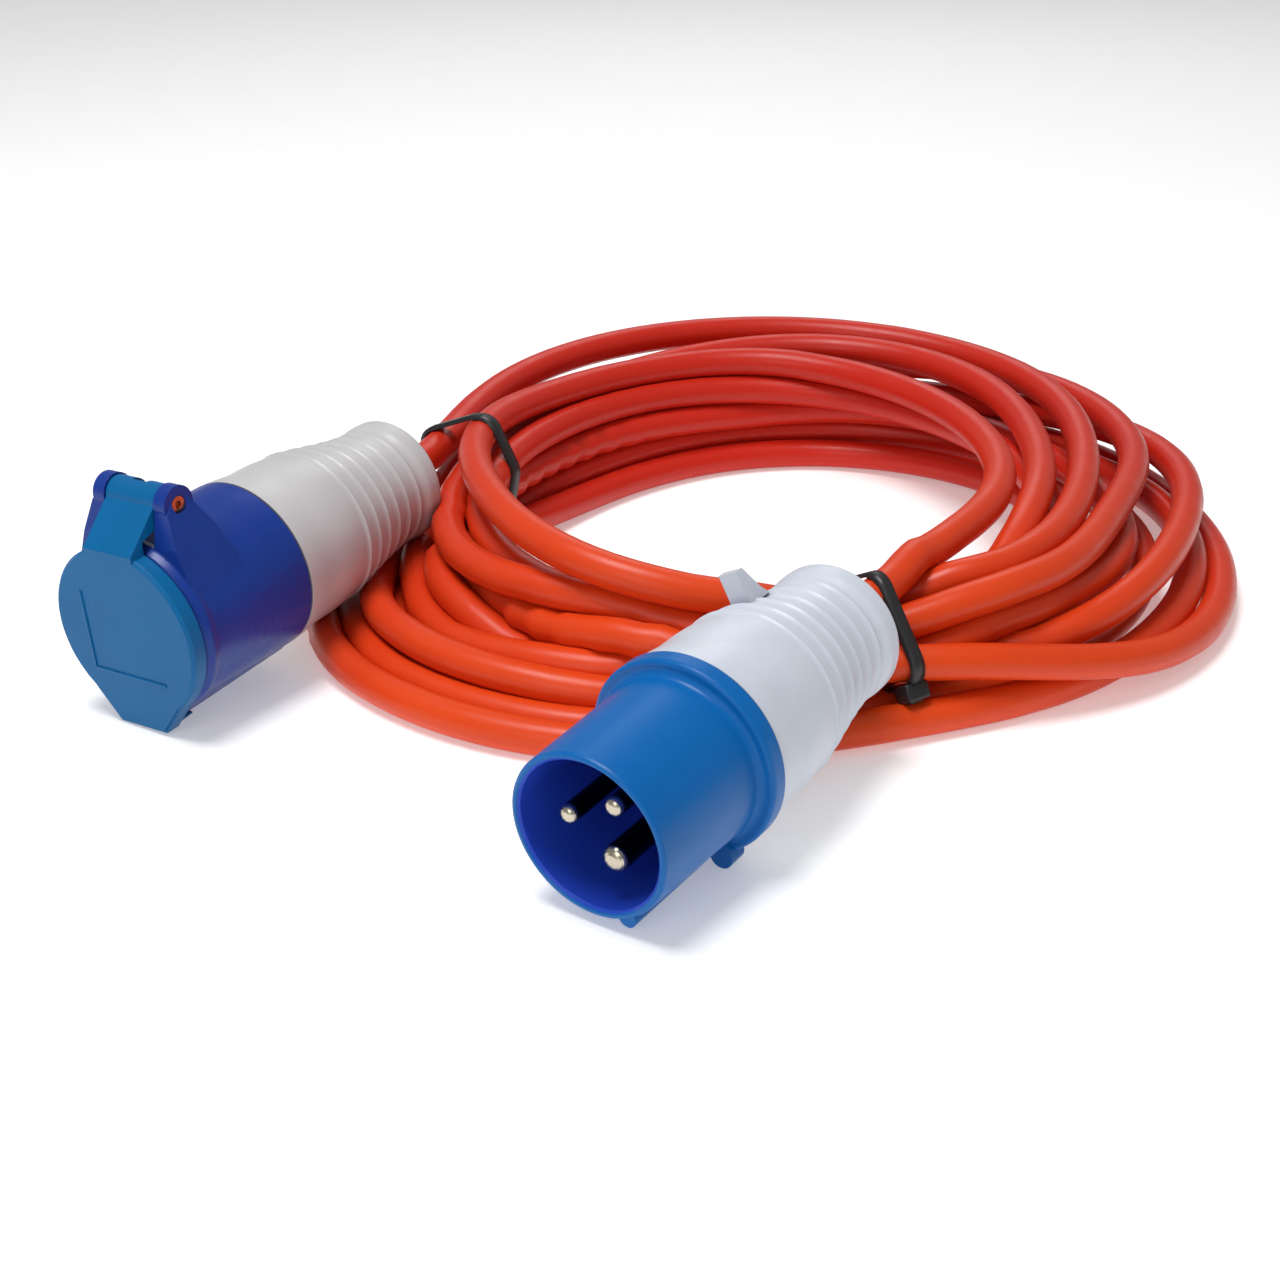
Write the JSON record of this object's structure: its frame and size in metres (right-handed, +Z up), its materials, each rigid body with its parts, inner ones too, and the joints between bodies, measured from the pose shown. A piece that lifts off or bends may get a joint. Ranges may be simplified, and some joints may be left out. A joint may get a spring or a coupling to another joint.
{
  "type": "hook-up extension lead",
  "caption": "Coiled heavy-duty extension lead with a pin-and-sleeve plug at one end and a connector with a sprung, hinged lid at the other.",
  "frame": {"origin": "on the surface that the lead lies on, under the middle of the plug and connector's bounding box", "axes": "+Z up; +X to the right and +Y to the back as seen from the front, where the plug and the connector point towards the viewer"},
  "size_m": [0.3581, 0.3789, 0.0714],
  "materials": {
    "plug_blue": "moulded, satin gloss",
    "pin_block_blue": "moulded, satin",
    "body_blue": "moulded, gloss",
    "lid_blue": "moulded, satin gloss",
    "handle_white": "moulded, fine texture",
    "pin_nickel": "nickel-plated brass",
    "contact_brass": "drawn brass",
    "screw_steel": "zinc plated",
    "seal_rubber": "matt",
    "grommet_grey": "matt",
    "clamp_grey": "moulded",
    "core_brown": "smooth",
    "core_blue": "smooth",
    "core_green_yellow": "green with a yellow stripe",
    "hinge_copper": "copper plated",
    "spring_steel": "bright wire",
    "cord_orange": "smooth, glossy",
    "tie_black": "moulded nylon"
  },
  "bodies": {
    "lead": {"plug_shroud": "plug_blue", "pin_carrier": "pin_block_blue", "line_pin": "pin_nickel", "neutral_pin": "pin_nickel", "earth_pin": "pin_nickel", "plug_terminal_screws": "screw_steel", "plug_handle": "handle_white", "plug_seal": "seal_rubber", "plug_clamp_body": "clamp_grey", "plug_clamp_saddle": "clamp_grey", "plug_clamp_screws": "screw_steel", "plug_grommet": "grommet_grey", "plug_line_core": "core_brown", "plug_neutral_core": "core_blue", "plug_earth_core": "core_green_yellow", "connector_body": "body_blue", "insert_sleeve": "pin_block_blue", "contact_carrier": "pin_block_blue", "line_contact": "contact_brass", "neutral_contact": "contact_brass", "earth_contact": "contact_brass", "connector_terminal_screws": "screw_steel", "connector_handle": "handle_white", "connector_seal": "seal_rubber", "connector_clamp_body": "clamp_grey", "connector_clamp_saddle": "clamp_grey", "connector_clamp_screws": "screw_steel", "connector_grommet": "grommet_grey", "connector_line_core": "core_brown", "connector_neutral_core": "core_blue", "connector_earth_core": "core_green_yellow", "hinge_pin": "hinge_copper", "lid_spring": "spring_steel", "plug_tail": "cord_orange", "connector_tail": "cord_orange", "cord_coil": "cord_orange", "plug_tie": "tie_black", "connector_tie": "tie_black"},
    "lid": {"connector_lid": "lid_blue", "lid_gasket": "seal_rubber"}
  },
  "joints": [
    {"name": "lid_hinge", "type": "hinge", "parent": "lead", "child": "lid", "pos_m": [-0.08861, 0.01258, 0.06553], "axis": [-0.8462, 0.5317, -0.0348], "range_deg": [0, 110], "stiffness_Nm_per_rad": 0.02, "springref_deg": -34.38}
  ]
}
